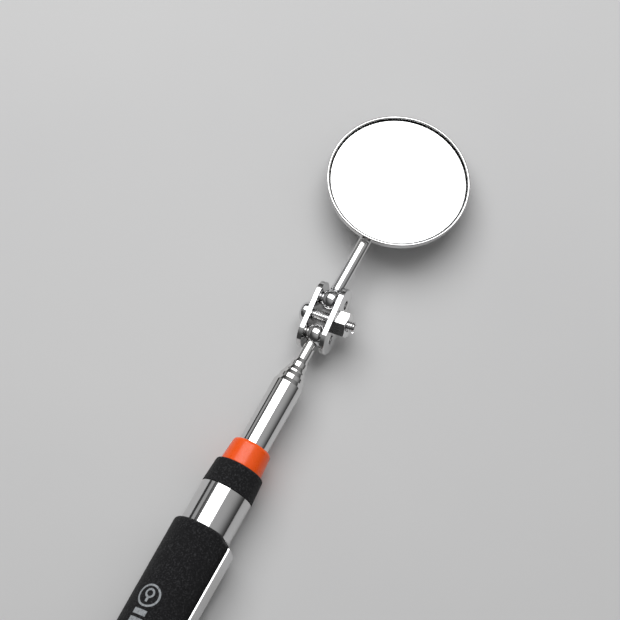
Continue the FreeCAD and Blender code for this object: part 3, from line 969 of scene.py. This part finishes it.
def crossCutter():
    # two tapered blades at a right angle
    facts = screw
    levels = ((-facts["cutterLift"], facts["cutterFlare"]), (facts["recessDepth"], facts["recessTaper"]))
    work = bmesh.new()
    for across in (0, math.pi / 2):
        turn = Matrix.Rotation(across, 3, "Z")
        loops = []
        for level, scale in levels:
            reach, half = facts["recessReach"] * scale, facts["recessHalf"] * scale
            z = facts["headTop"] + level
            loops.append([work.verts.new(turn @ Vector((x * reach, y * half, z)))
                          for x, y in ((-1, -1), (1, -1), (1, 1), (-1, 1))])
        work.faces.new(loops[0])
        work.faces.new(loops[1])
        weave(work, loops, closed=True)
    return fromBmesh("crossCutter", work)


def clampScrew():
    facts = screw
    upright = Matrix.Rotation(-math.pi / 2, 4, "Y")
    made = lathe("clampScrew", [
        (facts["headTop"], 0),
        (facts["headTop"], facts["headRadius"], facts["headRound"]),
        (facts["headBottom"], facts["headRadius"], facts["headEdge"]),
        (facts["headBottom"], facts["core"]),
        (facts["end"] - facts["endBevel"], facts["core"]),
        (facts["end"], facts["core"] - facts["endBevel"]),
        (facts["end"], 0),
    ], place=upright, arcSteps=facts["arcSteps"])
    cutter = crossCutter()
    recess = made.modifiers.new("recess", "BOOLEAN")
    recess.operation = "DIFFERENCE"
    recess.solver = "EXACT"
    recess.use_self = True
    recess.object = cutter
    wound = made.modifiers.new("thread", "NODES")
    wound.node_group = threadTree()
    for item in wound.node_group.interface.items_tree:
        if item.in_out == "INPUT" and item.name in thread:
            wound[item.identifier] = thread[item.name]
    graph = bpy.context.evaluated_depsgraph_get()
    finished = bpy.data.meshes.new_from_object(made.evaluated_get(graph))
    made.modifiers.clear()
    made.data = finished
    finished.transform(clampPlace)
    shadeByAngle(finished)
    bpy.data.objects.remove(cutter)
    finishPiece(made, "clamp", jointChrome, "clamp_screw")


clampScrew()
print("screw is threaded")


# mirror rod, round and then flattened to a paddle, and the mirror itself

paddle = {
    # lengths along the rod are from the upper ball's middle
    "radius": 2.35 * mm,
    "spigot": 1.5 * mm,
    "spigotEnd": 0.5 * mm,
    "shoulder": 3.5 * mm,
    "edge": 0.3 * mm,
    "flattenStart": 23.8 * mm,
    "bend": 34.3 * mm,
    "bendHalf": 3.0 * mm,
    "flattenPast": 1.0 * mm,             # past the bend, where it has its full width
    "length": 21.5 * mm,
    "halfWidth": 4.0 * mm,
    "halfSheet": 0.85 * mm,
    "endRound": 3.9 * mm,
    "endThin": 0.12,
    "squareness": 5.0,                   # 2 is an ellipse, more is squarer
    "around": 72,
    "edgeRows": 4,
    "flattenRows": 24,
    "straightRows": 8,
    "endRows": 12,
    "sharpAngle": 38,
}
cup = {
    "radius": 24.55 * mm,
    "sheet": 0.5 * mm,
    "depth": 4.0 * mm,
    "round": 1.2 * mm,
    "rim": 25.0 * mm,
    "rimHeight": 0.9 * mm,
    "rimRound": 0.42 * mm,
    "behindGlass": 1.0 * mm,
    "steps": 224,
}
glass = {
    "radius": 23.7 * mm,
    "sheet": 2.0 * mm,
    "edge": 0.35 * mm,
    "backEdge": 0.2 * mm,
    "arcSteps": 4,
}


def paddleCentre(travelled):
    # the rod's middle line and its direction, with a soft bend
    facts = paddle
    ahead = Vector((math.cos(mirrorTilt), 0, -math.sin(mirrorTilt)))
    past = travelled - facts["bend"]
    corner = Vector((facts["bend"], 0, 0))
    if past <= -facts["bendHalf"]:
        return Vector((travelled, 0, 0)), 0.0
    if past >= facts["bendHalf"]:
        return corner + ahead * past, mirrorTilt
    share = (past / facts["bendHalf"] + 1) / 2
    first, last = corner - Vector((facts["bendHalf"], 0, 0)), corner + ahead * facts["bendHalf"]
    return first.lerp(corner, share).lerp(corner.lerp(last, share), share), mirrorTilt * share


def paddleRing(work, travelled, halfWidth, halfSheet, power):
    # one section of the rod, between a circle and a rounded rectangle
    middle, tilt = paddleCentre(travelled)
    turn = Matrix.Rotation(tilt, 3, "Y")
    place = Matrix.Translation(upperBall)
    ring = []
    for step in range(paddle["around"]):
        angle = math.tau * step / paddle["around"]
        side, rise = math.cos(angle), math.sin(angle)
        y = math.copysign(abs(side) ** (2 / power), side) * halfWidth
        z = math.copysign(abs(rise) ** (2 / power), rise) * halfSheet
        ring.append(work.verts.new(place @ (middle + turn @ Vector((0, y, z)))))
    return ring


def paddleSections():
    # (along, half width, half thickness, squareness) from the spigot to the paddle's end
    facts = paddle
    radius, wide, thin, square = facts["radius"], facts["halfWidth"], facts["halfSheet"], facts["squareness"]
    made = [(facts["spigotEnd"], facts["spigot"], facts["spigot"], 2),
            (facts["shoulder"], facts["spigot"], facts["spigot"], 2)]
    for n in range(facts["edgeRows"] + 1):
        turn = math.pi / 2 * n / facts["edgeRows"]
        out = radius - facts["edge"] * (1 - math.sin(turn))
        made.append((facts["shoulder"] + facts["edge"] * (1 - math.cos(turn)), out, out, 2))
    start, flat = facts["flattenStart"], facts["bend"] + facts["flattenPast"]
    made.append((start - 1 * mm, radius, radius, 2))
    for n in range(facts["flattenRows"] + 1):
        share = n / facts["flattenRows"]
        ease = fade(share, 0, 1)
        made.append((start + (flat - start) * share, radius + (wide - radius) * ease,
                     radius + (thin - radius) * ease, 2 + (square - 2) * ease))
    total = facts["bend"] + facts["length"]
    for n in range(1, facts["straightRows"] + 1):
        share = n / facts["straightRows"]
        made.append((flat + (total - facts["endRound"] - flat) * share, wide, thin, square))
    for n in range(1, facts["endRows"] + 1):
        turn = math.pi / 2 * n / (facts["endRows"] + 1)
        made.append((total - facts["endRound"] * (1 - math.sin(turn)),
                     wide - facts["endRound"] * (1 - math.cos(turn)),
                     thin * (1 - facts["endThin"] * (n / facts["endRows"]) ** 4), square))
    return made


def mirrorRod():
    work = bmesh.new()
    rings = [paddleRing(work, *section) for section in paddleSections()]
    weave(work, rings, closed=True)
    work.faces.new(rings[0])
    work.faces.new(rings[-1])
    made = fromBmesh("mirrorRod", work, paddle["sharpAngle"])
    finishPiece(made, "mirror_head", tubeChrome, "mirror_rod")


def mirrorParts():
    ahead = mirrorNormal.normalized()
    side = squareTo(Vector((1, 0, 0)), ahead)
    behind = cup["behindGlass"] + glass["sheet"] / 2
    place = placeOf(ahead, side.cross(ahead), side, glassMiddle - mirrorNormal * behind)
    inner = cup["radius"] - cup["sheet"]
    shell = lathe("mirrorCup", [
        (0, 0),
        (0, cup["radius"], cup["round"]),
        (cup["depth"] - cup["rimHeight"], cup["radius"]),
        (cup["depth"] - cup["rimHeight"], cup["rim"], cup["rimRound"]),
        (cup["depth"], cup["rim"], cup["rimRound"]),
        (cup["depth"], inner, cup["rimRound"]),
        (cup["sheet"], inner, cup["round"] - cup["sheet"]),
        (cup["sheet"], 0),
    ], place=place, steps=cup["steps"])
    finishPiece(shell, "mirror_head", sheetChrome, "mirror_cup")
    back = cup["behindGlass"]
    front = lathe("mirrorGlass", [
        (back, 0),
        (back, glass["radius"], glass["backEdge"]),
        (back + glass["sheet"], glass["radius"], glass["edge"]),
        (back + glass["sheet"], 0),
    ], place=place, steps=cup["steps"], arcSteps=glass["arcSteps"])
    finishPiece(front, "mirror_head", glassFace, "mirror_glass")


mirrorRod()
mirrorParts()
print("mirror is mounted")


# camera, from the middle of the glass

view = {
    "toward": (-0.2554, -0.1128, 0.9602),
    "up": (0.8406, 0.4646, 0.2782),
    "distance": 2.0,
    "lens": 335.6,
    "sensor": 36.0,
    "slideRight": -30.6 * mm,
    "slideUp": -44.4 * mm,
    "aimLift": 1.0 * mm,
    "clip": (0.05, 60),
}


def placeCamera():
    toward = Vector(view["toward"]).normalized()
    up = squareTo(Vector(view["up"]), toward)
    right = up.cross(toward)
    target = glassMiddle + mirrorNormal * view["aimLift"] + right * view["slideRight"] + up * view["slideUp"]
    lens = bpy.data.cameras.new("viewCamera")
    lens.lens = view["lens"]
    lens.sensor_width = view["sensor"]
    lens.clip_start, lens.clip_end = view["clip"]
    camera = bpy.data.objects.new("viewCamera", lens)
    bpy.context.scene.collection.objects.link(camera)
    camera.matrix_world = placeOf(right, up, toward, target + toward * view["distance"])
    bpy.context.scene.camera = camera
    bpy.context.view_layer.update()


placeCamera()
bpy.context.scene.view_settings.view_transform = "Standard"
print("camera stands")


# floor and studio light

studio = {
    "floorTone": 0.62,
    "floorHalf": 8.0,
    "floorRoughness": 0.75,
    "worldDark": 0.05,
    "worldGlow": 0.44,
    "glowToward": (0.2554, -0.168, 0.952),
    "glowFrom": 0.25,
    "lightsAim": (0.15, 0, 0),
}
panels = {
    "keyPanel": {"toward": (0.39, 0.285, 0.876), "distance": 0.9, "size": (0.68, 0.96), "radiance": 3.55},
    "leftPanel": {"toward": (0.1, 0.93, 0.35), "distance": 1.1, "size": (0.9, 0.3), "radiance": 0.35},
}


def floorPiece():
    half, level, tone = studio["floorHalf"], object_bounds()[0].z, studio["floorTone"]
    work = bmesh.new()
    corners = ((-1, -1), (1, -1), (1, 1), (-1, 1))
    work.faces.new([work.verts.new((x * half, y * half, level)) for x, y in corners])
    floor = fromBmesh("floor", work)
    material, tree, shader = newMaterial("paleFloor", "", {"Roughness": studio["floorRoughness"]})
    mixed = mixColour(tree, ranged(tree, noiseAt(tree, 6, 4), 0, 1),
                      (tone, tone, tone, 1), (tone * 0.965, tone * 0.965, tone * 0.97, 1))
    tree.links.new(mixed, shader.inputs["Base Color"])
    floor.data.materials.append(material)


def softPanel(name, facts):
    toward = Vector(facts["toward"]).normalized()
    light = bpy.data.lights.new(name, "AREA")
    light.shape = "RECTANGLE"
    light.size, light.size_y = facts["size"]
    light.energy = facts["radiance"] * math.pi * light.size * light.size_y
    lamp = bpy.data.objects.new(name, light)
    bpy.context.scene.collection.objects.link(lamp)
    across = squareTo(Vector((1, 0, 0)), toward)
    origin = Vector(studio["lightsAim"]) + toward * facts["distance"]
    lamp.matrix_world = placeOf(across, toward.cross(across), toward, origin)


def studioWorld():
    world = bpy.data.worlds.new("studioWorld")
    bpy.context.scene.world = world
    world.use_nodes = True
    tree = world.node_tree
    where = addNode(tree, "ShaderNodeTexCoord")
    facing = addNode(tree, "ShaderNodeVectorMath", {
        0: where.outputs["Generated"], 1: Vector(studio["glowToward"]).normalized(),
    }, operation="DOT_PRODUCT")
    glow = addNode(tree, "ShaderNodeMapRange", {
        "Value": facing.outputs["Value"], "From Min": studio["glowFrom"], "From Max": 1.0,
        "To Min": studio["worldDark"], "To Max": studio["worldGlow"],
    }, interpolation_type="SMOOTHSTEP")
    tree.links.new(glow.outputs["Result"], tree.nodes["Background"].inputs["Strength"])
    tree.nodes["Background"].inputs["Color"].default_value = (1, 1, 1, 1)


floorPiece()
for name, facts in panels.items():
    softPanel(name, facts)
studioWorld()
print("studio is lit")
